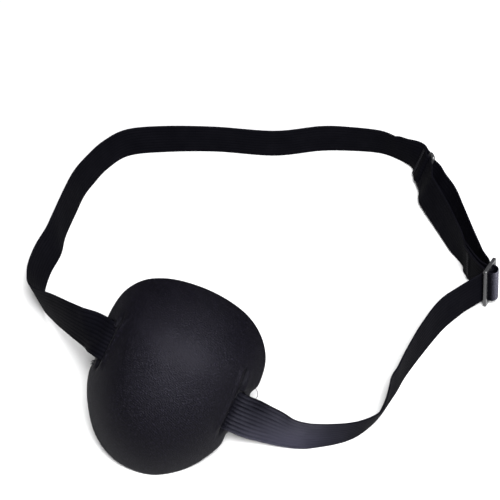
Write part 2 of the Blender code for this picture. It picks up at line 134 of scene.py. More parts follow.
# The band at the hardware, as seen along the bars
TURN_RADIUS = RING_BAR_RADIUS + FIT_GAP + BAND_THICK / 2
LAYER_PITCH = BAND_THICK + 0.35 * MM
WEAVE_X = 2.95 * MM
TAIL_LENGTH = 7.0 * MM
NEAR_BAR_PATH = ((-7.5 * MM, 3.1 * MM), (-5.6 * MM, 2.3 * MM))
FAR_BAR_PATH = ((8.6 * MM, 6.2 * MM), (5.6 * MM, 2.9 * MM))

# Where an adjuster run is cut into two pieces, counted from the ring
RUN_SPLIT = 2 * ROUTE_STEPS     # smooth points from the ring, along an adjuster run

# Lower edge of the band: x, y, height (mm), outward lean (degrees)
BACK_ROUTE = (
    (-85.2, -60.9, 29.0, -16), (-95.2, -45.9, 21.0, -4), (-105.0, -28.9, 10.5, 9), (-112.6, -14.2, 3, 15),
    (-114.3, -1.3, 0, 20), (-112.8, 12.9, 0, 20), (-108.8, 26.9, 0, 19), (-107.8, 40.9, 0, 12),
    (-103.8, 59.9, 0, 12), (-100.8, 72.9, 0, 10), (-96.1, 83.9, 0, 8), (-89.2, 96.4, 0, 5),
    (-77.8, 107.5, 0, 1), (-56.8, 110.9, 0, 0), (-26.8, 111.3, 0, -3), (7.2, 107.7, 0, -3),
    (34.2, 111.9, 0, -3), (52.2, 112.0, 0, -6), (69.2, 110.0, 0, -9), (79.2, 104.8, 0, -11),
    (85.2, 98.7, 1, -6),
)
FRONT_ROUTE = (
    (-2.7, -97.8, 5.0, -20), (7.6, -98.2, 1.6, -7), (19.2, -98.2, 0, 0), (33.2, -95.6, 0, 8),
    (42.2, -91.9, 0, 14), (49.3, -86.1, 0, 18), (54.8, -79.9, 0, 9), (60.2, -71.6, 0, -1),
    (64.2, -65.1, 0, -2), (69.6, -55.4, 0, -4), (80.2, -40.1, 0, -10), (91.7, -25.1, 0, -13),
    (102.2, -15.4, 1, -9),
)
INNER_ROUTE = ((88.3, 63.8, 2, 17), (91.0, 56.1, 1.9, 16), (96.0, 43.3, 1.4, 12), (101.2, 29.2, 1.0, 6))
OUTER_ROUTE = ((95.5, 66.0, 2, 18), (99.8, 56.0, 2, 16), (103.2, 43.8, 2, 12), (108.2, 25.8, 2, 6),
               (114.7, 10.8, 2, -5))

# ---------------------------------------------------------------- fine detail

RIBBON_STEP = 1.0 * MM          # length of one row of the band's mesh
RIBS = 10                       # lengthwise ribs of the elastic
RIB_POINTS = 5                  # mesh columns in one rib
RIB_DEPTH_FREE = 0.08 * MM
RIB_DEPTH_SEWN = 0.42 * MM      # the ribs stand out where the band is gathered in a seam
SEWN_AT = 4.0 * MM              # where a seam holds a strap, from its end
GATHER_LENGTH = 16.0 * MM
SWAY = 0.16 * MM                # how far the ribs wander off the straight near a seam
SWAY_PITCH = 2.6 * MM
BACK_SWAY = 0.3                 # share of the sway on the band's other face
SELVEDGE_SHARE = 0.475          # from here outwards, as a share of the width, the band thins
SELVEDGE_THINNING = 0.45
SELVEDGE_BULGE = 0.02 * MM
RIB_ROUNDNESS = 0.6
OUTLINE_STEPS = 8
SHELL_RINGS = 58
LINING_RINGS = 40
RING_CROWDING = 0.8             # under 1, the rings of a shell lie closer together near its rim
RIM_STEPS = 6
RIM_ROUNDNESS = 0.7
COVER_CROWN = 0.3 * MM          # how far the rounded rim of each layer stands out
FOAM_CROWN = 0.55 * MM
LINING_CROWN = 0.25 * MM
CREASE_INSET = 0.9 * MM         # the seam's crease runs this far inside the slit
CREASE_DEPTH = 1.7 * MM
CREASE_WIDTH = 0.9 * MM
CREASE_FADE = 0.9 * MM          # over this length a crease runs out at its ends
CREASE_BOW = 0.9 * MM           # sideways, at CREASE_BOW_LENGTH above the seam's middle
CREASE_BOW_LENGTH = 12.0 * MM
SIDE_STRETCH = 1.45             # length on the cup's side for a length seen from its front
RELIEF_REACH = 6.0 * MM
INNER_ROLL = (0.6 * MM, -2.3 * MM, 1.5 * MM)    # height, distance from the crease, width
OUTER_ROLL = (0.3 * MM, 2.6 * MM, 1.4 * MM)
GATHERS = (0.26 * MM, 0.6 * MM, 2.6 * MM)
GATHER_PITCH = 2.3 * MM
GATHER_UNEVENNESS = 1.3         # radians, once in 2 pi times the next length
GATHER_WANDER = 3.1 * MM
LEFT_CREASE = (12.0 * MM, 12.5 * MM)            # how far it runs above and below the slit's middle
RIGHT_CREASE = (19.0 * MM, 10.5 * MM)
WAVINESS = 0.14 * MM            # of the whole cup's surface
STITCH_BED = -1.45 * MM         # the stitches lie at the bottom of the crease
STITCH_WAVE = 0.35 * MM
STITCH_INSET = 0.027
STITCH_RADIUS = 0.24 * MM
SEAM_STITCHES = 9
STITCH_POINTS = 14
SEAM_HALF_LENGTH = 13.5 * MM
THREAD_TWIST = 900.0            # turns per metre
PLY_DEPTH = 0.28                # of a thread's radius, how deep the groove between its plies is
TACK_RADIUS = 0.2 * MM
TACK_HALF_WIDTH = 0.95 * MM
TACK_MARGIN = 1.2 * MM
TACK_PASSES = 26
TACK_BENDS = (0.0, 0.08, 0.3, 0.5, 0.7, 0.92)
BAND_END_TACK_INSET = 1.7 * MM
TAIL_TACK = (6.6 * MM, 15.4 * MM, math.radians(50.0))
# Where the straps draw the cup's rim in: u, v, how far, over what length (mm)
RIM_PINCHES = ((37.2, 6.6, 2.2, 2.6), (35.4, -15.8, 1.5, 3.4), (-36.9, -12.3, 1.0, 3.0))
PINCH_SPREAD = 7                # the rim's pinches die out towards the crown with this power

# A thread that stands up from the front strap's upper edge beside the seam: x, y, z (mm)
STRAY_LOOP = ((-6.9, -84.4, 26.7), (-6.2, -83.4, 27.4), (-4.7, -83.4, 27.2), (-3.5, -84.5, 25.9),
              (-3.4, -86.0, 24.3), (-4.4, -87.0, 23.4))
STRAY_RADIUS = 0.13 * MM
STRAY_TWIST = 1200.0
FILAMENTS = 11
FILAMENT_RADIUS = 0.15 * MM
FILAMENTS_BELOW = 11.0 * MM     # they stand out of the left slit's lower end
FILAMENTS_SPREAD = 3.0 * MM
FILAMENTS_RING = 0.95
FILAMENTS_LIFT = 0.3 * MM

# ---------------------------------------------------------------- floor, world and lights

FLOOR_HALF_SIZE = 4.0           # m
WORLD_STRENGTH = 0.3
# Name, place, target, size (m), power (W), and the only pieces that it reaches, if not all
LIGHTS = (
    ("key", (0.08, -0.42, 1.0), (-0.03, 0.0, 0.02), (0.45, 0.45), 34.0, ()),
    ("front", (0.12, -0.62, 0.77), (-0.03, -0.06, 0.02), (0.4, 0.4), 17.0, ()),
    ("right", (0.6, -0.5, 0.3), (0.06, -0.04, 0.01), (0.3, 0.3), 4.5, ()),
    ("table_glow", (0.007, -0.124, 0.002), (0.007, -0.098, 0.005), (0.03, 0.01), 0.40,
     ("front_strap_elastic",)),
    ("slider_glow", (0.186, -0.028, 0.016), (0.122, -0.006, 0.012), (0.03, 0.04), 3.4,
     ("slider_weave_elastic",)),
)

# ---------------------------------------------------------------- materials

DARK_SHEEN = (0.85, 0.83, 1.0, 1.0)


class Graph:
    """A material and a short way to wire its nodes."""

    def __init__(self, name):
        self.material = bpy.data.materials.new(name)
        self.material.use_nodes = True
        self.tree = self.material.node_tree
        self.shader = self.tree.nodes["Principled BSDF"]

    def feed(self, socket, value):
        if isinstance(value, bpy.types.NodeSocket):
            self.tree.links.new(value, socket)
        else:
            socket.default_value = value

    def add(self, kind, values, **settings):
        node = self.tree.nodes.new("ShaderNode" + kind)
        for key, value in settings.items():
            setattr(node, key, value)
        for socket, value in values.items():
            self.feed(node.inputs[socket], value)
        return node

    def math(self, operation, a, b=0.0):
        return self.add("Math", {0: a, 1: b}, operation=operation).outputs[0]

    def wave(self, position, pitch, shift=0.0):
        """A sine of the given pitch, from 0 to 1."""
        turns = self.math("DIVIDE", position, pitch)
        angle = self.math("MULTIPLY", self.math("ADD", turns, shift), 2 * math.pi)
        return self.math("MULTIPLY", self.math("ADD", self.math("SINE", angle), 1.0), 0.5)

    def noise(self, coordinates, scale, detail=2.0):
        values = {"Vector": coordinates, "Scale": scale, "Detail": detail}
        return self.add("TexNoise", values).outputs[0]

    def span(self, value, low, high, to_low=0.0, to_high=1.0):
        values = {"Value": value, "From Min": low, "From Max": high, "To Min": to_low, "To Max": to_high}
        return self.add("MapRange", values).outputs[0]

    def colours(self, value, stops):
        node = self.add("ValToRGB", {"Fac": value})
        elements = node.color_ramp.elements
        while len(elements) < len(stops):
            elements.new(1.0)
        for element, (place, colour) in zip(elements, stops):
            element.position = place
            element.color = (*colour, 1.0)
        return node.outputs[0]

    def weighted(self, *terms):
        """The sum of value, weight pairs."""
        total = None
        for value, weight in terms:
            part = self.math("MULTIPLY", value, weight)
            total = part if total is None else self.math("ADD", total, part)
        return total

    def bump(self, height, distance):
        node = self.add("Bump", {"Height": height, "Distance": distance})
        self.feed(self.shader.inputs["Normal"], node.outputs[0])

    def cloth(self):
        """Position on the cloth in mm: (along, across), and the vector for noise."""
        vector = self.add("UVMap", {}, uv_map="cloth").outputs[0]
        split = self.add("SeparateXYZ", {0: vector})
        return split.outputs[0], split.outputs[1], vector

    def finish(self, colour, roughness, **fixed):
        self.feed(self.shader.inputs["Base Color"], colour)
        self.feed(self.shader.inputs["Roughness"], roughness)
        for socket, value in fixed.items():
            self.shader.inputs[socket.replace("_", " ")].default_value = value
        return self.material


def elastic_material():
    """Braided elastic: chevrons of fine yarn in each rib, faint fuzz, the valleys between the ribs painted
    darker as painted shade and the band's edges painted lighter as a painted highlight.
    """
    g = Graph("elastic_braid")
    along, across, vector = g.cloth()
    rib_pitch = BAND_WIDTH / MM / RIBS
    place_in_rib = g.math("FRACT", g.math("DIVIDE", across, rib_pitch))
    from_crest = g.math("ABSOLUTE", g.math("SUBTRACT", place_in_rib, 0.5))
    chevron = g.wave(along, 0.62, g.math("MULTIPLY", from_crest, 1.5))
    warp = g.wave(across, 0.4)
    # The valleys dip in the bump and are painted darker in the tone below: painted shade.
    valley = g.span(from_crest, 0.34, 0.5)
    fuzz = g.noise(vector, 3.2, 4.0)
    patches = g.noise(vector, 0.09, 3.0)
    # The band's edges, painted lighter in the tone below: a painted highlight.
    from_middle = g.math("ABSOLUTE", g.math("SUBTRACT", across, BAND_WIDTH / MM / 2))
    painted_edge_highlight = g.span(from_middle, BAND_WIDTH / MM / 2 - 0.5, BAND_WIDTH / MM / 2)
    height = g.weighted((chevron, 0.55), (warp, 0.25), (fuzz, 0.6), (valley, -0.8))
    g.bump(height, 0.00005)
    tone = g.weighted((chevron, 0.22), (fuzz, 0.45), (patches, 0.45), (valley, -0.42), (painted_edge_highlight, 0.4))
    colour = g.colours(tone, ((0.1, (0.0002, 0.0002, 0.0005)), (0.5, (0.0008, 0.0008, 0.0014)),
                              (0.9, (0.0025, 0.0024, 0.0035)), (1.0, (0.0065, 0.0065, 0.0085))))
    roughness = g.span(tone, 0.0, 1.0, 0.86, 0.66)
    return g.finish(colour, roughness, Specular_IOR_Level=0.017, Specular_Tint=DARK_SHEEN)


def cover_material():
    """Fine warp-knit jersey bonded to the foam: columns of small loops with bright filaments, and painted
    shade in the seams' creases.
    """
    g = Graph("jersey_knit")
    along, across, vector = g.cloth()
    wale_pitch, course_pitch = 0.62, 0.55
    wale = g.wave(along, wale_pitch)
    stagger = g.math("MULTIPLY", g.math("FLOOR", g.math("DIVIDE", along, wale_pitch)), 0.5)
    course = g.wave(across, course_pitch, stagger)
    loops = g.math("MULTIPLY", wale, course)
    grain = g.noise(vector, 1.25, 3.0)
    filaments = g.span(g.noise(vector, 1.05, 4.0), 0.46, 0.72)
    clouds = g.noise(vector, 0.07, 3.0)
    # The crease map holds how far each seam's crease is pinched shut; below, it darkens the colour there as
    # painted shade and makes the cloth rougher.
    pinch_and_shade = g.add("SeparateXYZ", {0: g.add("UVMap", {}, uv_map="crease").outputs[0]}).outputs[0]
    height = g.weighted((loops, 0.9), (grain, 1.0), (filaments, 0.5))
    g.bump(height, 0.00012)
    tone = g.weighted((loops, 0.18), (grain, 0.42), (filaments, 0.4), (clouds, 0.16), (pinch_and_shade, -1.6))
    colour = g.colours(tone, ((0.05, (0.0002, 0.0002, 0.0005)), (0.2, (0.0004, 0.0004, 0.0009)),
                              (0.4, (0.0003, 0.0002, 0.0006)), (0.85, (0.0038, 0.0034, 0.0066))))
    roughness = g.weighted((g.span(tone, 0.0, 1.0, 0.40, 0.25), 1.0), (pinch_and_shade, 0.4))
    return g.finish(colour, roughness, Specular_IOR_Level=0.062, Specular_Tint=DARK_SHEEN)


def lining_material():
    """Brushed cotton jersey on the face side."""
    g = Graph("brushed_lining")
    along, across, vector = g.cloth()
    ribs = g.wave(along, 0.8)
    courses = g.wave(across, 0.6)
    pile = g.noise(vector, 2.6, 6.0)
    clouds = g.noise(vector, 0.12, 2.0)
    height = g.weighted((ribs, 0.35), (courses, 0.25), (pile, 1.0))
    g.bump(height, 0.0002)
    tone = g.weighted((ribs, 0.2), (pile, 0.5), (clouds, 0.3))
    colour = g.colours(tone, ((0.2, (0.006, 0.006, 0.0068)), (0.8, (0.02, 0.0197, 0.0217))))
    roughness = g.span(pile, 0.3, 0.7, 0.95, 0.8)
    return g.finish(colour, roughness, Specular_IOR_Level=0.2, Sheen_Weight=0.25, Sheen_Roughness=0.5)


def foam_material():
    """Open-cell foam: small round cells, their hollows painted darker than their walls as painted shade."""
    g = Graph("open_cell_foam")
    vector = g.add("TexCoord", {}).outputs["Object"]
    cells = g.add("TexVoronoi", {"Vector": vector, "Scale": 1700.0}).outputs["Distance"]
    coarse = g.noise(vector, 900.0, 4.0)
    height = g.weighted((cells, 1.0), (coarse, 0.5))
    g.bump(height, 0.0003)
    # Darker towards each cell's middle: painted shade in the cells' hollows.
    colour = g.colours(cells, ((0.0, (0.004, 0.004, 0.0043)), (0.55, (0.024, 0.0234, 0.0253))))
    roughness = g.span(coarse, 0.3, 0.7, 0.98, 0.86)
    return g.finish(colour, roughness, Specular_IOR_Level=0.15)


def thread_material():
    """Spun black polyester thread."""
    g = Graph("spun_thread")
    vector = g.add("TexCoord", {}).outputs["Object"]
    fibres = g.noise(vector, 4200.0, 3.0)
    shade = g.noise(vector, 260.0, 2.0)
    g.bump(fibres, 0.00006)
    tone = g.weighted((fibres, 0.6), (shade, 0.4))
    colour = g.colours(tone, ((0.25, (0.0010, 0.0010, 0.0016)), (0.75, (0.0048, 0.0046, 0.0062))))
    roughness = g.span(tone, 0.2, 0.8, 0.75, 0.5)
    return g.finish(colour, roughness, Specular_IOR_Level=0.1)


def plastic_material():
    """Injection-moulded black acetal: polished, with a faint orange peel, scuffed on its edges."""
    g = Graph("moulded_black_plastic")
    vector = g.add("TexCoord", {}).outputs["Object"]
    peel = g.noise(vector, 900.0, 2.0)
    stretched = g.add("Mapping", {"Vector": vector, "Scale": (6000.0, 700.0, 500.0)}).outputs[0]
    scratches = g.span(g.noise(stretched, 1.0, 3.0), 0.62, 0.72)
    edges = g.span(g.add("NewGeometry", {}).outputs["Pointiness"], 0.52, 0.58)
    wear = g.math("MULTIPLY", edges, g.span(g.noise(vector, 1400.0, 4.0), 0.4, 0.65))
    g.bump(g.weighted((peel, 1.0), (scratches, -0.25)), 0.00003)
    colour = g.colours(g.weighted((wear, 0.7), (scratches, 0.15), (peel, 0.15)),
                       ((0.0, (0.008, 0.008, 0.0088)), (1.0, (0.045, 0.045, 0.048))))
    roughness = g.weighted((peel, 0.16), (scratches, 0.1), (wear, 0.25), (1.0, 0.14))
    return g.finish(colour, roughness, Specular_IOR_Level=0.5)


def floor_material():
    """Matt paper with a barely visible tooth, which the lights take to white."""
    g = Graph("white_paper")
    vector = g.add("TexCoord", {}).outputs["Object"]
    tooth = g.noise(vector, 900.0, 3.0)
    g.bump(tooth, 0.00002)
    colour = g.colours(tooth, ((0.3, (0.36, 0.36, 0.362)), (0.7, (0.37, 0.37, 0.372))))
    return g.finish(colour, g.span(tooth, 0.3, 0.7, 0.85, 0.95), Specular_IOR_Level=0.1)


# ---------------------------------------------------------------- mesh helpers

def make_piece(name, bm, material, place=None):
    """A bmesh as a shown object; place is its matrix where the mesh is in local coordinates."""
    if place is not None:
        bm.transform(place)
    bmesh.ops.recalc_face_normals(bm, faces=bm.faces)
    mesh = bpy.data.meshes.new(name)
    bm.to_mesh(mesh)
    bm.free()
    mesh.shade_smooth()
    mesh.materials.append(material)
    obj = bpy.data.objects.new(name, mesh)
    bpy.context.scene.collection.objects.link(obj)
    return obj


def subtract(piece, tool):
    modifier = piece.modifiers.new("cut", "BOOLEAN")
    modifier.operation = "DIFFERENCE"
    modifier.solver = "EXACT"
    modifier.object = tool


def apply_modifiers(piece, tools):
    """Makes the piece's modifiers final and removes the objects that they cut with."""
    bpy.context.view_layer.update()
    evaluated = piece.evaluated_get(bpy.context.evaluated_depsgraph_get())
    mesh = bpy.data.meshes.new_from_object(evaluated)
    piece.modifiers.clear()
    piece.data = mesh
    for tool in tools:
        bpy.data.objects.remove(tool, do_unlink=True)


def bridge(bm, rings, closed=True):
    """Quads between following rings of vertices; returns the faces row by row."""
    rows = []
    for ring, following in zip(rings, rings[1:]):
        count = len(ring) if closed else len(ring) - 1
        rows.append([bm.faces.new((ring[k], ring[(k + 1) % len(ring)],
                                   following[(k + 1) % len(ring)], following[k])) for k in range(count)])
    return rows


def smooth_rows(rows, step):
    """Rows of numbers, the first three a point, through a smooth curve about one step apart.

    Returns the new rows and, for each row that came in, its place among them."""
    rows = np.array(rows, float)
    spans = np.linalg.norm(np.diff(rows[:, :3], axis=0), axis=1)
    slopes = np.diff(rows, axis=0) / spans[:, None]
    tangents = np.empty_like(rows)
    tangents[0], tangents[-1] = slopes[0], slopes[-1]
    for i in range(1, len(rows) - 1):
        before, after = spans[i - 1], spans[i]
        tangents[i] = (slopes[i] * before + slopes[i - 1] * after) / (before + after)
    out, places = [], []
    for i, span in enumerate(spans):
        places.append(len(out))
        count = max(1, math.ceil(span / step))
        for k in range(count):
            t = k / count
            start = (2 * t ** 3 - 3 * t ** 2 + 1) * rows[i]
            start_slope = (t ** 3 - 2 * t ** 2 + t) * span * tangents[i]
            end = (3 * t ** 2 - 2 * t ** 3) * rows[i + 1]
            end_slope = (t ** 3 - t ** 2) * span * tangents[i + 1]
            out.append(start + start_slope + end + end_slope)
    places.append(len(out))
    out.append(rows[-1])
    return np.array(out), places


def spline(points, steps):
    """Catmull-Rom curve through vectors of any length, the end points included."""
    ends = [points[0] * 2 - points[1]] + list(points) + [points[-1] * 2 - points[-2]]
    curve = []
    for i in range(1, len(ends) - 2):
        a, b, c, d = ends[i - 1:i + 3]
        for k in range(steps):
            t = k / steps
            curve.append((b * 2 + (c - a) * t + (a * 2 - b * 5 + c * 4 - d) * t ** 2
                          + (b * 3 - a - c * 3 + d) * t ** 3) * 0.5)
    curve.append(points[-1].copy())
    return curve


def closed_spline(points, steps):
    wrapped = [points[-1]] + list(points) + [points[0], points[1]]
    return spline(wrapped, steps)[steps:steps * (len(points) + 1)]


def arc(radius, start, end, centre=(0.0, 0.0), step=12.0):
    """Points of an arc in the plane across the bars; angles in degrees."""
    count = max(2, round(abs(end - start) / step))
    angles = [math.radians(start + (end - start) * k / count) for k in range(count + 1)]
    return [(centre[0] + radius * math.cos(a), centre[1] + radius * math.sin(a)) for a in angles]


def tube(path, radius, sides=12, closed=False, lobes=0, twist=0.0):
    """A bar or thread along a path; lobes and twist (turns per metre) give it plies."""
    bm = bmesh.new()
    rings, normal, travelled = [], None, 0.0
    count = len(path)
    for i, point in enumerate(path):
        before = path[i - 1] if closed or i else path[0]
        after = path[(i + 1) % count] if closed or i < count - 1 else path[-1]
        along = (after - before).normalized()
        normal = along.orthogonal() if normal is None else normal
        normal = (normal - along * normal.dot(along)).normalized()
        side = along.cross(normal)
        travelled += (point - path[i - 1]).length if i else 0.0
        ring = []
        for k in range(sides):
            angle = 2 * math.pi * k / sides
            ply = abs(math.cos((angle - 2 * math.pi * twist * travelled) * lobes / 2)) if lobes else 1.0
            reach = radius * (1.0 - PLY_DEPTH + PLY_DEPTH * ply)
            ring.append(bm.verts.new(point + (normal * math.cos(angle) + side * math.sin(angle)) * reach))
        rings.append(ring)
    bridge(bm, rings + rings[:1] if closed else rings)
    if not closed:
        bm.faces.new(rings[0])
        bm.faces.new(rings[-1])
    return bm


# ---------------------------------------------------------------- the cup's surface

def cup_matrix():
    turn = Euler((CUP_TILT, 0.0, 0.0)).to_matrix() @ Euler((0.0, 0.0, CUP_ROLL)).to_matrix()
    return Matrix.Translation(CUP_POSITION) @ turn.to_4x4()


def cup_outline(steps=OUTLINE_STEPS):
    return closed_spline([Vector((u, v, 0.0)) * MM for u, v in CUP_OUTLINE], steps)


def cup_point(rim_point, ring, depth):
    """A point of the dome at a share of the way to the rim, a depth below the outside."""
    spoke = rim_point - CUP_MIDDLE
    inset = 1.0 - depth * CUP_SIDE_FACTOR / spoke.length
    height = (CUP_DEPTH - depth) * (1.0 - ring ** CUP_ROUNDNESS)
    return CUP_MIDDLE + spoke * inset * ring + Vector((0.0, 0.0, height))


def side_rim_point(side, height):
    """Where the cup's outline crosses a height, on the left (-1) or right (+1)."""
    near = sorted((p for p in cup_outline(2) if p.x * side > 0), key=lambda p: abs(p.y - height))
    a, b = near[0], near[1]
    return a.lerp(b, (height - a.y) / (b.y - a.y))


def cup_side_point(side, height, ring, lift):
    """A point over the cup's side: ring measures outwards, lift stands off the surface."""
    rim = side_rim_point(side, height)
    here = cup_point(rim, ring, 0.0)
    slope = (cup_point(rim, ring + 0.01, 0.0) - here).normalized()
    away = Vector((-slope.z, 0.0, slope.x)) * (1 if slope.x > 0 else -1)
    return here + away * lift


# ---------------------------------------------------------------- the band

class Section:
    """One place along the band: its middle, the direction of its width, and the width."""

    def __init__(self, middle, across, width=BAND_WIDTH):
        self.middle = middle
        self.across = across.normalized()
        self.width = width


def route_sections(route, outer_side):
    """Sections of a band that stands on its lower edge; outer_side +1 is right of travel."""
    stations = [Vector((x * MM, y * MM, z * MM, math.radians(lean))) for x, y, z, lean in route]
    curve = spline(stations, ROUTE_STEPS)
    sections = []
    for i, point in enumerate(curve):
        along = (curve[min(i + 1, len(curve) - 1)] - curve[max(i - 1, 0)]).to_3d().normalized()
        outward = Vector((along.y, -along.x, 0.0)).normalized() * outer_side
        upright = outward.cross(along) * outer_side
        across = upright * math.cos(point.w) + outward * math.sin(point.w)
        corner_drop = BAND_THICK / 2 * abs(math.sin(point.w))
        edge = Vector((point.x, point.y, max(point.z, 0.0) + corner_drop + EDGE_LIFT))
        sections.append(Section(edge + across * BAND_WIDTH / 2, across))
    return sections


def frame_matrix(position, lean, heading):
    return Matrix.Translation(position) @ Euler((lean, 0.0, heading)).to_matrix().to_4x4()


def ring_matrix():
    return frame_matrix(RING_POSITION, RING_LEAN, RING_HEADING)


def slider_matrix():
    return frame_matrix(SLIDER_POSITION, SLIDER_LEAN, SLIDER_HEADING)


def hardware_sections(place, path):
    """Sections of a band bent round a bar: path is (x, y) in the hardware's own frame."""
    across = place.to_3x3() @ Vector((0.0, 0.0, 1.0))
    return [Section(place @ Vector((x, y, 0.0)), across) for x, y in path]


def strap_root(slit, place):
    """Sections of a strap end: from inside the foam, up through the slit, over the rim."""
    height, side = slit
    across = place.to_3x3() @ Vector((0.0, 1.0, 0.0))
    return [Section(place @ cup_side_point(side, height, ring, lift), across, SEAM_WIDTH)
            for ring, lift in STRAP_ROOT_LIFTS]


def back_fold_path():
    half, leave = LAYER_PITCH / 2, TURN_RADIUS * 0.95
    path = [(-TAIL_LENGTH, half), (-5.0 * MM, half), (-3.2 * MM, 1.0 * MM), (-1.6 * MM, leave)]
    path += arc(TURN_RADIUS, 90, -90)
    path += [(-1.6 * MM, -leave), (-3.2 * MM, -1.0 * MM), (-5.0 * MM, -half), (-TAIL_LENGTH, -half)]
    return path


def ring_turn_path():
    front = RING_SPAN
    path = [(front + 2.6 * MM, 2.7 * MM), (front + 1.3 * MM, 2.2 * MM)]
    path += arc(TURN_RADIUS, 75, 285, (front, 0.0))
    path += [(front + 1.6 * MM, -1.75 * MM), (front + 3.0 * MM, -1.95 * MM)]
    return path


def weave_path():
    rise = [(-3.75 * MM, 1.8 * MM), (-3.15 * MM, 0.75 * MM), (-WEAVE_X, -0.8 * MM), (-WEAVE_X, -2.0 * MM)]
    crown = [(-2.3 * MM, -3.4 * MM), (-1.0 * MM, -4.15 * MM), (0.4 * MM, -4.2 * MM), (1.9 * MM, -3.6 * MM)]
    fall = [(WEAVE_X, -2.2 * MM), (3.0 * MM, -0.8 * MM), (3.05 * MM, 0.35 * MM), (3.65 * MM, 1.7 * MM)]
    return rise + crown + fall


def tail_path():
    arriving = [(14.8, 21.3), (12.0, 18.0), (8.9, 14.3), (5.4, 9.9), (3.2, 6.3), (2.3, 3.6), (1.9, 1.7)]
    returning = [(-1.45, 1.6), (-0.6, 3.4), (1.2, 6.6), (4.1, 10.7), (7.6, 15.1), (11.4, 19.6)]
    path = [(x * MM, y * MM) for x, y in arriving]
    path += arc(TURN_RADIUS, 10, -190)
    path += [(x * MM, y * MM) for x, y in returning]
    return path


def fine_band(sections):
    """Rows of (middle, across, width, distance) at the mesh's step, and the old sections' places."""
    rows, places = smooth_rows([(*s.middle, *s.across, s.width) for s in sections], RIBBON_STEP)
    steps = np.linalg.norm(np.diff(rows[:, :3], axis=0), axis=1)
    distance = np.concatenate(([0.0], np.cumsum(steps)))
    return np.column_stack((rows, distance)), places


def band_profile():
    """One face of the band's cross-section as (place across -0.5..0.5, crest height 0..1)."""
    columns = RIBS * RIB_POINTS
    return [(k / columns - 0.5, abs(math.sin(math.pi * k / RIB_POINTS)) ** RIB_ROUNDNESS)
            for k in range(1, columns)]


def ribbon(rows, first, last, sewn_from=None, seed=1):
    """The ribbed band from one row to another; sewn_from is the distance where a seam gathers it."""
    rng = random.Random(seed)
    face = band_profile()
    bm = bmesh.new()
    uv = bm.loops.layers.uv.new("cloth")
    rings, marks = [], []
    wander = [rng.uniform(0.0, 2 * math.pi) for _ in range(RIBS)]
    for i in range(first, last + 1):
        row = rows[i]
        middle, across = Vector(row[:3]), Vector(row[3:6])
        width, distance = row[6], row[7]
        before, after = rows[max(i - 1, 0)], rows[min(i + 1, len(rows) - 1)]
        along = Vector(after[:3] - before[:3]).normalized()
        normal = along.cross(across).normalized()
        across = normal.cross(along).normalized()
        gather = math.exp(-abs(distance - sewn_from) / GATHER_LENGTH) if sewn_from is not None else 0.0
        depth = RIB_DEPTH_FREE + (RIB_DEPTH_SEWN - RIB_DEPTH_FREE) * gather
        half = BAND_THICK / 2
        ring, place = [], []
        for direction in (1, -1):
            for share, crest in face if direction > 0 else face[::-1]:
                rib = min(int((share + 0.5) * RIBS), RIBS - 1)
                sway = math.sin(distance / SWAY_PITCH + wander[rib]) * gather * SWAY
                past = max(0.0, (abs(share) - SELVEDGE_SHARE) / (0.5 - SELVEDGE_SHARE))
                edge = 1.0 - SELVEDGE_THINNING * past
                lift = (half - depth * (1.0 - crest)) * edge + (sway if direction > 0 else -sway * BACK_SWAY)
                ring.append(bm.verts.new(middle + across * width * share + normal * lift * direction))
                place.append((distance / MM, (share + 0.5) * BAND_WIDTH / MM))
            rim = 0.5 * direction
            ring.append(bm.verts.new(middle + across * (width * rim + SELVEDGE_BULGE * direction)))
            place.append((distance / MM, (rim + 0.5) * BAND_WIDTH / MM))
        rings.append(ring)
        marks.append(place)
    for i, faces in enumerate(bridge(bm, rings)):
        count = len(rings[i])
        for k, quad in enumerate(faces):
            n = (k + 1) % count
            corners = (marks[i][k], marks[i][n], marks[i + 1][n], marks[i + 1][k])
            for loop, place in zip(quad.loops, corners):
                loop[uv].uv = place
    for ring, place in ((rings[0], marks[0]), (rings[-1], marks[-1])):
        cap = bm.faces.new(ring)
        for edge in cap.edges:
            edge.smooth = False
        for loop, mark in zip(cap.loops, place):
            loop[uv].uv = mark
    return bm


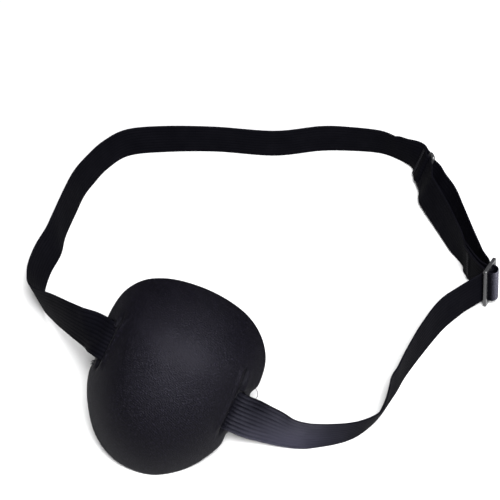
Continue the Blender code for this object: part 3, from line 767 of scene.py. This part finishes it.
def build_band(materials):
    """Both straps from the cup to their ends, cut into pieces where they cross a joint."""
    elastic = materials["elastic"]
    cup = cup_matrix()
    ring_place, slider_place = ring_matrix(), slider_matrix()

    back = strap_root(LEFT_SLIT, cup)[:-1] + route_sections(BACK_ROUTE, -1)
    back += hardware_sections(ring_place, back_fold_path())
    rows, _ = fine_band(back)
    piece = make_piece("back_band_elastic", ribbon(rows, 0, len(rows) - 1, SEWN_AT, 1), elastic)
    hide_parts("back_band")
    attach(piece, "head_band")

    near_bar = hardware_sections(slider_place, NEAR_BAR_PATH)
    far_bar = hardware_sections(slider_place, FAR_BAR_PATH)[::-1]
    front = strap_root(RIGHT_SLIT, cup)[:-1] + route_sections(FRONT_ROUTE, 1) + near_bar
    weave = hardware_sections(slider_place, weave_path())
    outer = far_bar + route_sections(OUTER_ROUTE, -1)[::-1]
    turn = hardware_sections(ring_place, ring_turn_path())
    inner = route_sections(INNER_ROUTE, -1)
    tail = hardware_sections(slider_place, tail_path())
    rows, places = fine_band(front + weave + outer + turn + inner + tail)
    starts = np.cumsum([0, len(front), len(weave), len(outer), len(turn), len(inner), len(tail)])
    at = [places[min(s, len(places) - 1)] for s in starts]
    outer_split = places[starts[3] - 1 - RUN_SPLIT]
    inner_split = places[starts[4] + RUN_SPLIT]
    weave_end = places[starts[2] - 1]
    turn_end = places[starts[4] - 1]

    def cut(name, first, last, nodes, bodies):
        made = make_piece(name, ribbon(rows, first, last, seed=2), elastic)
        if nodes:
            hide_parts(*nodes)
        if len(bodies) == 1:
            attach(made, bodies[0])
        else:
            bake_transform(made)

    front_piece = make_piece("front_strap_elastic", ribbon(rows, 0, at[1], SEWN_AT, 2), elastic)
    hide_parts("front_strap", "front_strap_end")
    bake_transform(front_piece)
    cut("slider_weave_elastic", at[1], weave_end, ["slider_strap_weave"], ["carriage"])
    cut("outer_run_elastic", weave_end, outer_split, ["adjuster_outer_run"], ["carriage", "head_band"])
    cut("outer_run_ring_end", outer_split, at[3], [], ["head_band", "ring"])
    cut("ring_turn_elastic", at[3], turn_end, ["ring_strap_turn"], ["ring"])
    cut("inner_run_ring_end", turn_end, inner_split, [], ["ring", "head_band"])
    cut("inner_run_elastic", inner_split, at[5], ["adjuster_inner_run"], ["head_band", "carriage"])
    cut("sewn_tail_elastic", at[5], len(rows) - 1, ["sewn_strap_tail"], ["carriage"])


# ---------------------------------------------------------------- the cup's layers

def box_ribbon(sections, thick):
    """A plain ribbon of rectangular section, for cutting the slits."""
    bm = bmesh.new()
    rings = []
    for i, section in enumerate(sections):
        before, after = sections[max(i - 1, 0)], sections[min(i + 1, len(sections) - 1)]
        along = (after.middle - before.middle).normalized()
        normal = along.cross(section.across).normalized()
        half_across = section.across * section.width / 2
        rings.append([bm.verts.new(section.middle + half_across * a + normal * (n * thick / 2))
                      for a, n in ((1, 1), (1, -1), (-1, -1), (-1, 1))])
    bridge(bm, rings)
    bm.faces.new(rings[0])
    bm.faces.new(rings[-1])
    return bm


def slit_tool(slit):
    """The room a strap end takes in the cup's layers, in the cup's own frame."""
    sections = strap_root(slit, Matrix())[:SLIT_SECTIONS]
    first, second = sections[0].middle, sections[1].middle
    sections[0] = Section(first + (first - second).normalized() * SLIT_GAP, sections[0].across)
    for section in sections:
        section.width = SEAM_WIDTH + 2 * SLIT_GAP
    return box_ribbon(sections, BAND_THICK + 2 * SLIT_GAP)


def cut_slits(piece):
    """Cuts both slits into a layer for good, so that the mesh is final."""
    for slit in (LEFT_SLIT, RIGHT_SLIT):
        tool = make_piece("slit_tool", slit_tool(slit), piece.data.materials[0], place=cup_matrix())
        subtract(piece, tool)
        apply_modifiers(piece, [tool])


def hump(distance, height, centre, width):
    return height * math.exp(-((distance - centre) / width) ** 2)


def seam_relief(point, slit, above, below):
    """Height of the cloth beside a seam, and how far its crease is pinched shut (0 to 1), which also sets
    how much painted shade the cover gets there.
    """
    height, side = slit
    line = cup_side_point(side, height, SLIT_RING, 0.0)
    along = point.y - height
    if point.x * side < 0 or not -below - RELIEF_REACH < along < above + RELIEF_REACH:
        return 0.0, 0.0
    off = (point.x - line.x) * side * SIDE_STRETCH + CREASE_INSET
    off += CREASE_BOW * (max(along, 0.0) / CREASE_BOW_LENGTH) ** 2
    window = 1.0 / (1.0 + math.exp((along - above) / CREASE_FADE))
    window *= 1.0 / (1.0 + math.exp((-below - along) / CREASE_FADE))
    pinch_and_shade = hump(off, 1.0, 0.0, CREASE_WIDTH)
    wave = math.sin(2 * math.pi * along / GATHER_PITCH + GATHER_UNEVENNESS * math.sin(along / GATHER_WANDER))
    height = hump(off, *INNER_ROLL) + hump(off, *OUTER_ROLL) + hump(off, *GATHERS) * wave
    return window * (height - CREASE_DEPTH * pinch_and_shade), window * pinch_and_shade


def skin_relief(point):
    left, left_pinch_and_shade = seam_relief(point, LEFT_SLIT, *LEFT_CREASE)
    right, right_pinch_and_shade = seam_relief(point, RIGHT_SLIT, *RIGHT_CREASE)
    u, v = point.x / MM, point.y / MM
    waviness = WAVINESS * math.sin(u / 9.0 + 0.6) * math.sin(v / 11.0 - 0.4)
    return left + right + waviness, max(left_pinch_and_shade, right_pinch_and_shade)


def pinched_outline():
    """The cup's outline, drawn in a little beside both seams."""
    outline = []
    for rim in cup_outline():
        draw = 0.0
        for u, v, depth, reach in RIM_PINCHES:
            distance = (rim.xy - Vector((u, v)) * MM).length
            draw += depth * MM * math.exp(-(distance / (reach * MM)) ** 2)
        outline.append(rim - (rim - CUP_MIDDLE).normalized() * draw)
    return outline


def shell(layer, rings, crown, skins_in_relief=0):
    """One layer of the cup: outer skin, rounded rim, inner skin, with cloth coordinates in mm.

    The seams' relief moves that many of its skins, counted from the outer one."""
    outline, pinched = cup_outline(), pinched_outline()
    shares = [(k / rings) ** RING_CROWDING for k in range(1, rings + 1)]
    bm = bmesh.new()
    uv = bm.loops.layers.uv.new("cloth")
    crease_shade_uv = bm.loops.layers.uv.new("crease")
    skins = []
    cloth = {}
    for depth in layer:
        apex = bm.verts.new(cup_point(outline[0], 0.0, depth))
        cloth[apex] = (CUP_MIDDLE.x / MM, CUP_MIDDLE.y / MM)
        loops = []
        reach = [0.0] * len(outline)
        last = [apex.co.copy()] * len(outline)
        for share in shares:
            loop = []
            for k, plain in enumerate(outline):
                rim = plain.lerp(pinched[k], share ** PINCH_SPREAD)
                point = cup_point(rim, share, depth)
                reach[k] += (point - last[k]).length
                last[k] = point
                vertex = bm.verts.new(point)
                spoke = (rim - CUP_MIDDLE).normalized()
                cloth[vertex] = ((CUP_MIDDLE.x + spoke.x * reach[k]) / MM,
                                 (CUP_MIDDLE.y + spoke.y * reach[k]) / MM)
                loop.append(vertex)
            loops.append(loop)
        skins.append((apex, loops))
    # The rounded rim, from the outer skin's last ring to the inner skin's
    rim_loops = [skins[0][1][-1]]
    for k in range(1, RIM_STEPS):
        t = k / RIM_STEPS
        drop = crown * math.sin(math.pi * t) ** RIM_ROUNDNESS
        loop = []
        for a, b in zip(skins[0][1][-1], skins[1][1][-1]):
            vertex = bm.verts.new(a.co.lerp(b.co, t) - Vector((0.0, 0.0, drop)))
            cloth[vertex] = tuple(p * (1 - t) + q * t for p, q in zip(cloth[a], cloth[b]))
            loop.append(vertex)
        rim_loops.append(loop)
    rim_loops.append(skins[1][1][-1])
    for apex, loops in skins:
        for k in range(len(outline)):
            bm.faces.new((apex, loops[0][k], loops[0][(k + 1) % len(outline)]))
        bridge(bm, loops)
    bridge(bm, rim_loops)
    bmesh.ops.recalc_face_normals(bm, faces=bm.faces)
    bm.normal_update()
    # The seams' relief, along the outer skin's normals
    outer = [skins[0][0]] + [vertex for loop in skins[0][1][:-1] for vertex in loop]
    reliefs = [skin_relief(vertex.co) if skins_in_relief else (0.0, 0.0) for vertex in outer]
    # Kept in the crease map for the cover's painted shade in the seams' creases.
    crease_shade_by_vertex = {vertex: pinch_and_shade for vertex, (_, pinch_and_shade) in zip(outer, reliefs)}
    offsets = [vertex.normal * height for vertex, (height, _) in zip(outer, reliefs)]
    for apex, loops in skins[:skins_in_relief]:
        for vertex, offset in zip([apex] + [vertex for loop in loops[:-1] for vertex in loop], offsets):
            vertex.co += offset
    for face in bm.faces:
        for loop in face.loops:
            loop[uv].uv = cloth[loop.vert]
            loop[crease_shade_uv].uv = (crease_shade_by_vertex.get(loop.vert, 0.0), 0.5)
    return bm


def build_cup(materials):
    place = cup_matrix()
    cover = make_piece("cover_jersey", shell(COVER_LAYER, SHELL_RINGS, COVER_CROWN, 2),
                       materials["cover"], place)
    cut_slits(cover)
    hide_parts("patch_cover")
    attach(cover, "head_band")
    foam = make_piece("foam_pad", shell(FOAM_LAYER, SHELL_RINGS, FOAM_CROWN, 1),
                      materials["foam"], place)
    cut_slits(foam)
    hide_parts("patch_foam")
    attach(foam, "head_band")
    lining = make_piece("lining_jersey", shell(LINING_LAYER, LINING_RINGS, LINING_CROWN),
                        materials["lining"], place)
    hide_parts("patch_lining")
    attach(lining, "head_band")


# ---------------------------------------------------------------- stitching

def seam_stitches(slit, side_name, materials):
    """Running stitches beside a slit, twisted from two plies."""
    height, side = slit
    points = []
    count = SEAM_STITCHES * STITCH_POINTS
    for k in range(count + 1):
        share = k / count
        wave = 0.5 + 0.5 * math.cos(2 * math.pi * SEAM_STITCHES * share)
        lift = STITCH_BED + STITCH_WAVE * wave
        v = height - SEAM_HALF_LENGTH + 2 * SEAM_HALF_LENGTH * share
        points.append(cup_side_point(side, v, SLIT_RING - STITCH_INSET, lift))
    bm = tube(points, STITCH_RADIUS, 14, lobes=2, twist=THREAD_TWIST)
    piece = make_piece(side_name + "_seam_stitches", bm, materials["thread"], cup_matrix())
    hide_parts(side_name + "_seam_thread")
    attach(piece, "head_band")


def bar_tack(name, node, body, place, x, y, heading, materials):
    """A dense zigzag of thread that sews two layers of band together, x, y in the hardware's frame."""
    along = Vector((math.cos(heading), math.sin(heading), 0.0)) * TACK_HALF_WIDTH
    half_height = BAND_WIDTH / 2 - TACK_MARGIN
    corners = []
    for k in range(TACK_PASSES + 1):
        side = along if k % 2 else -along
        corners.append(Vector((x, y, -half_height + 2 * half_height * k / TACK_PASSES)) + side)
    points = []
    for a, b in zip(corners, corners[1:]):
        points += [a.lerp(b, t) for t in TACK_BENDS]
    points.append(corners[-1])
    bm = tube(points, TACK_RADIUS, 10, lobes=2, twist=THREAD_TWIST)
    piece = make_piece(name, bm, materials["thread"], place)
    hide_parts(node)
    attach(piece, body)


def build_stitching(materials):
    seam_stitches(LEFT_SLIT, "left", materials)
    seam_stitches(RIGHT_SLIT, "right", materials)
    tack_face = LAYER_PITCH / 2 + BAND_THICK / 2 + TACK_RADIUS
    ring_place, slider_place = ring_matrix(), slider_matrix()
    bar_tack("band_end_bar_tack", "band_end_tack", "head_band", ring_place,
             -TAIL_LENGTH + BAND_END_TACK_INSET, -tack_face, 0.0, materials)
    bar_tack("strap_tail_bar_tack", "strap_tail_tack", "carriage", slider_place, *TAIL_TACK, materials)


# ---------------------------------------------------------------- ring and slider

def build_ring(material):
    """A rectangle of round bar with soft corners."""
    loop = []
    half_x = RING_SPAN / 2
    for sign_x, sign_z, start in ((1, 1, 0), (-1, 1, 90), (-1, -1, 180), (1, -1, 270)):
        centre = (half_x + sign_x * (half_x - RING_CORNER), sign_z * (RING_HALF_HEIGHT - RING_CORNER))
        loop += [Vector((x, 0.0, z)) for x, z in arc(RING_CORNER, start, start + 90, centre, 9.0)]
    bm = tube(loop, RING_BAR_RADIUS, 28, closed=True)
    piece = make_piece("moulded_ring", bm, material, ring_matrix())
    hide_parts("strap_ring")
    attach(piece, "ring")


def slab(bm, x_low, x_high, half_z, thick):
    size = Matrix.Diagonal((x_high - x_low, thick, 2 * half_z, 1.0))
    bmesh.ops.create_cube(bm, size=1.0, matrix=Matrix.Translation(((x_low + x_high) / 2, 0.0, 0.0)) @ size)


def build_slider(material):
    """The three-bar frame with softly rounded bars."""
    half_x = SLIDER_PITCH - SLIDER_BAR / 2 + SLIDER_END_BAR
    half_z = SLIDER_OPENING / 2 + SLIDER_RIM
    place = slider_matrix()
    body = bmesh.new()
    slab(body, -half_x, half_x, half_z, SLIDER_BAR)
    upright = [e for e in body.edges if abs(e.verts[0].co.y - e.verts[1].co.y) > SLIDER_BAR / 2]
    bmesh.ops.bevel(body, geom=upright, offset=SLIDER_CORNER, segments=8, affect="EDGES", profile=0.5)
    slider = make_piece("moulded_slider", body, material, place)
    slot_half = (SLIDER_PITCH - SLIDER_BAR) / 2
    tools = []
    for centre in (-SLIDER_PITCH / 2, SLIDER_PITCH / 2):
        hole = bmesh.new()
        slab(hole, centre - slot_half, centre + slot_half, SLIDER_OPENING / 2, 3 * SLIDER_BAR)
        tool = make_piece("slot_tool", hole, material, place=place)
        tools.append(tool)
        subtract(slider, tool)
    bevel = slider.modifiers.new("rounded", "BEVEL")
    bevel.width = SLIDER_ROUNDING
    bevel.segments = 6
    bevel.limit_method = "ANGLE"
    bevel.angle_limit = math.radians(40.0)
    apply_modifiers(slider, tools)
    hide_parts("slider_frame")
    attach(slider, "slider")


# ---------------------------------------------------------------- small loose things

def build_loose_ends(materials):
    """A stray loop of thread at the right seam and a few frayed filaments at the left one."""
    rng = random.Random(7)
    loop = spline([Vector(point) * MM for point in STRAY_LOOP], 5)
    bm = tube(loop, STRAY_RADIUS, 8, lobes=2, twist=STRAY_TWIST)
    piece = make_piece("stray_thread_loop", bm, materials["thread"])
    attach(piece, "head_band")
    height, side = LEFT_SLIT
    bm = bmesh.new()
    for _ in range(FILAMENTS):
        start_height = height - FILAMENTS_BELOW - rng.uniform(0.0, FILAMENTS_SPREAD)
        start = cup_side_point(side, start_height, FILAMENTS_RING, FILAMENTS_LIFT)
        reach = Vector((side * rng.uniform(0.8, 1.9), rng.uniform(-0.9, 0.5), rng.uniform(-0.3, 0.9))) * MM
        curl = Vector((0.0, rng.uniform(-0.5, 0.5), rng.uniform(-0.4, 0.4))) * MM
        path = [start + reach * t + curl * math.sin(math.pi * t) for t in (0.0, 0.2, 0.4, 0.6, 0.8, 1.0)]
        strand = tube(path, FILAMENT_RADIUS, 6)
        mesh = bpy.data.meshes.new("strand")
        strand.to_mesh(mesh)
        strand.free()
        bm.from_mesh(mesh)
        bpy.data.meshes.remove(mesh)
    piece = make_piece("frayed_filaments", bm, materials["thread"], cup_matrix())
    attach(piece, "head_band")


# ---------------------------------------------------------------- stage and light

def add_area(name, place, target, size, power, only):
    """A soft light; only names the pieces that it reaches, where it doesn't reach them all."""
    data = bpy.data.lights.new(name, "AREA")
    data.shape = "RECTANGLE"
    data.size, data.size_y = size
    data.energy = power
    light = bpy.data.objects.new(name, data)
    light.visible_camera = False
    bpy.context.scene.collection.objects.link(light)
    light.location = place
    light.rotation_euler = (Vector(target) - Vector(place)).to_track_quat("-Z", "Y").to_euler()
    if only:
        reached = bpy.data.collections.new(name + "_reaches")
        for piece in only:
            reached.objects.link(bpy.data.objects[piece])
        light.light_linking.receiver_collection = reached


def build_stage(material):
    bm = bmesh.new()
    bmesh.ops.create_grid(bm, x_segments=2, y_segments=2, size=FLOOR_HALF_SIZE)
    floor = make_piece("floor", bm, material)
    world = bpy.data.worlds.new("studio")
    world.use_nodes = True
    background = world.node_tree.nodes["Background"]
    background.inputs["Color"].default_value = (1.0, 1.0, 1.0, 1.0)
    background.inputs["Strength"].default_value = WORLD_STRENGTH
    bpy.context.scene.world = world
    for light in LIGHTS:
        add_area(*light)
    bpy.context.scene.view_settings.view_transform = "Standard"


def main():
    materials = {
        "elastic": elastic_material(),
        "cover": cover_material(),
        "lining": lining_material(),
        "foam": foam_material(),
        "thread": thread_material(),
    }
    plastic = plastic_material()
    build_cup(materials)
    build_band(materials)
    build_stitching(materials)
    build_ring(plastic)
    build_slider(plastic)
    build_loose_ends(materials)
    build_stage(floor_material())


main()
